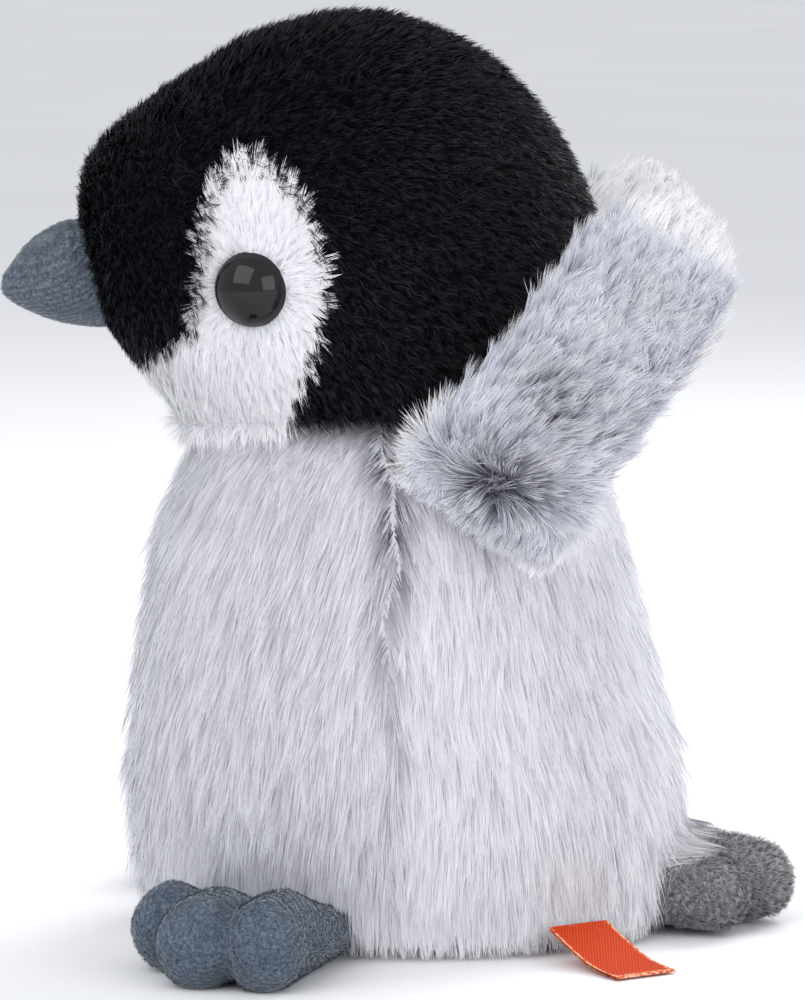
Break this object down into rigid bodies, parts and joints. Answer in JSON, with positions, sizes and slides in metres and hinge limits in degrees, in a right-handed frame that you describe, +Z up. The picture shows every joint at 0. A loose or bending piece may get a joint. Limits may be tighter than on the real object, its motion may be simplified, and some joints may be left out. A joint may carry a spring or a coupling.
{
  "type": "plush penguin",
  "caption": "Soft-toy penguin chick with long silver body fur, a black head with white face patches, raised wings, splayed feet and a small grey tail.",
  "frame": {"origin": "on the ground under the middle of the body", "axes": "-Y the way the beak points, +X the toy's left side, +Z up"},
  "size_m": [0.1676, 0.1725, 0.198],
  "materials": {
    "silver_long_pile": "matte",
    "base_fabric": "matte",
    "fibre_filling": "matte",
    "black_pile": "matte",
    "white_pile": "matte",
    "beak_velour": "matte",
    "eye_plastic": "gloss",
    "washer_plastic": "satin",
    "frosted_pile": "matte",
    "white_wing_pile": "matte",
    "foot_velour": "matte",
    "tail_plush": "matte",
    "label_ribbon": "satin"
  },
  "bodies": {
    "torso": {"torso_front_panel": "silver_long_pile", "torso_back_left_panel": "silver_long_pile", "torso_back_right_panel": "silver_long_pile", "torso_base_panel": "base_fabric", "torso_stuffing": "fibre_filling"},
    "neck": {"neck_stuffing": "fibre_filling"},
    "head": {"head_crown_gusset": "black_pile", "head_left_panel": "black_pile", "head_right_panel": "black_pile", "left_face_patch": "white_pile", "right_face_patch": "white_pile", "chin_panel": "white_pile", "head_stuffing": "fibre_filling", "left_eye": "eye_plastic", "right_eye": "eye_plastic", "left_eye_washer": "washer_plastic", "right_eye_washer": "washer_plastic", "beak_upper_panel": "beak_velour", "beak_lower_panel": "beak_velour", "beak_stuffing": "fibre_filling"},
    "tail": {"tail_upper_panel": "tail_plush", "tail_lower_panel": "tail_plush", "tail_stuffing": "fibre_filling"},
    "label": {"side_label": "label_ribbon"},
    "left_wing": {"left_wing_outer_panel": "frosted_pile", "left_wing_inner_panel": "white_wing_pile", "left_wing_stuffing": "fibre_filling"},
    "left_foot": {"left_foot_upper": "foot_velour", "left_foot_sole": "foot_velour", "left_foot_stuffing": "fibre_filling"},
    "right_wing": {"right_wing_outer_panel": "frosted_pile", "right_wing_inner_panel": "white_wing_pile", "right_wing_stuffing": "fibre_filling"},
    "right_foot": {"right_foot_upper": "foot_velour", "right_foot_sole": "foot_velour", "right_foot_stuffing": "fibre_filling"}
  },
  "joints": [
    {"name": "neck_turn", "type": "hinge", "parent": "torso", "child": "neck", "pos_m": [0, -0.002, 0.07], "axis": [0, 0, 1], "range_deg": [-20, 20], "stiffness_Nm_per_rad": 0.15},
    {"name": "head_nod", "type": "hinge", "parent": "neck", "child": "head", "pos_m": [0, -0.002, 0.07], "axis": [1, 0, 0], "range_deg": [-10, 12], "stiffness_Nm_per_rad": 3},
    {"name": "left_wing_flap", "type": "hinge", "parent": "torso", "child": "left_wing", "pos_m": [0.0505, 0.018, 0.098], "axis": [0, 0.829, -0.5592], "range_deg": [-4, 100], "stiffness_Nm_per_rad": 0.05},
    {"name": "right_wing_flap", "type": "hinge", "parent": "torso", "child": "right_wing", "pos_m": [-0.0505, 0.018, 0.098], "axis": [0, -0.829, 0.5592], "range_deg": [-4, 100], "stiffness_Nm_per_rad": 0.05},
    {"name": "left_foot_lift", "type": "hinge", "parent": "torso", "child": "left_foot", "pos_m": [0.036, -0.0255, 0.009], "axis": [-0.4226, -0.9063, 0], "range_deg": [0, 15], "stiffness_Nm_per_rad": 0.05},
    {"name": "right_foot_lift", "type": "hinge", "parent": "torso", "child": "right_foot", "pos_m": [-0.036, -0.0255, 0.009], "axis": [-0.4226, 0.9063, 0], "range_deg": [0, 15], "stiffness_Nm_per_rad": 0.05},
    {"name": "tail_lift", "type": "hinge", "parent": "torso", "child": "tail", "pos_m": [0, 0.058, 0.0105], "axis": [1, 0, 0], "range_deg": [0, 25], "stiffness_Nm_per_rad": 0.03},
    {"name": "label_flip", "type": "hinge", "parent": "torso", "child": "label", "pos_m": [0.0408, 0.0375, 0.0076], "axis": [0.5446, -0.8387, 0], "range_deg": [0, 60], "stiffness_Nm_per_rad": 0.0003}
  ]
}
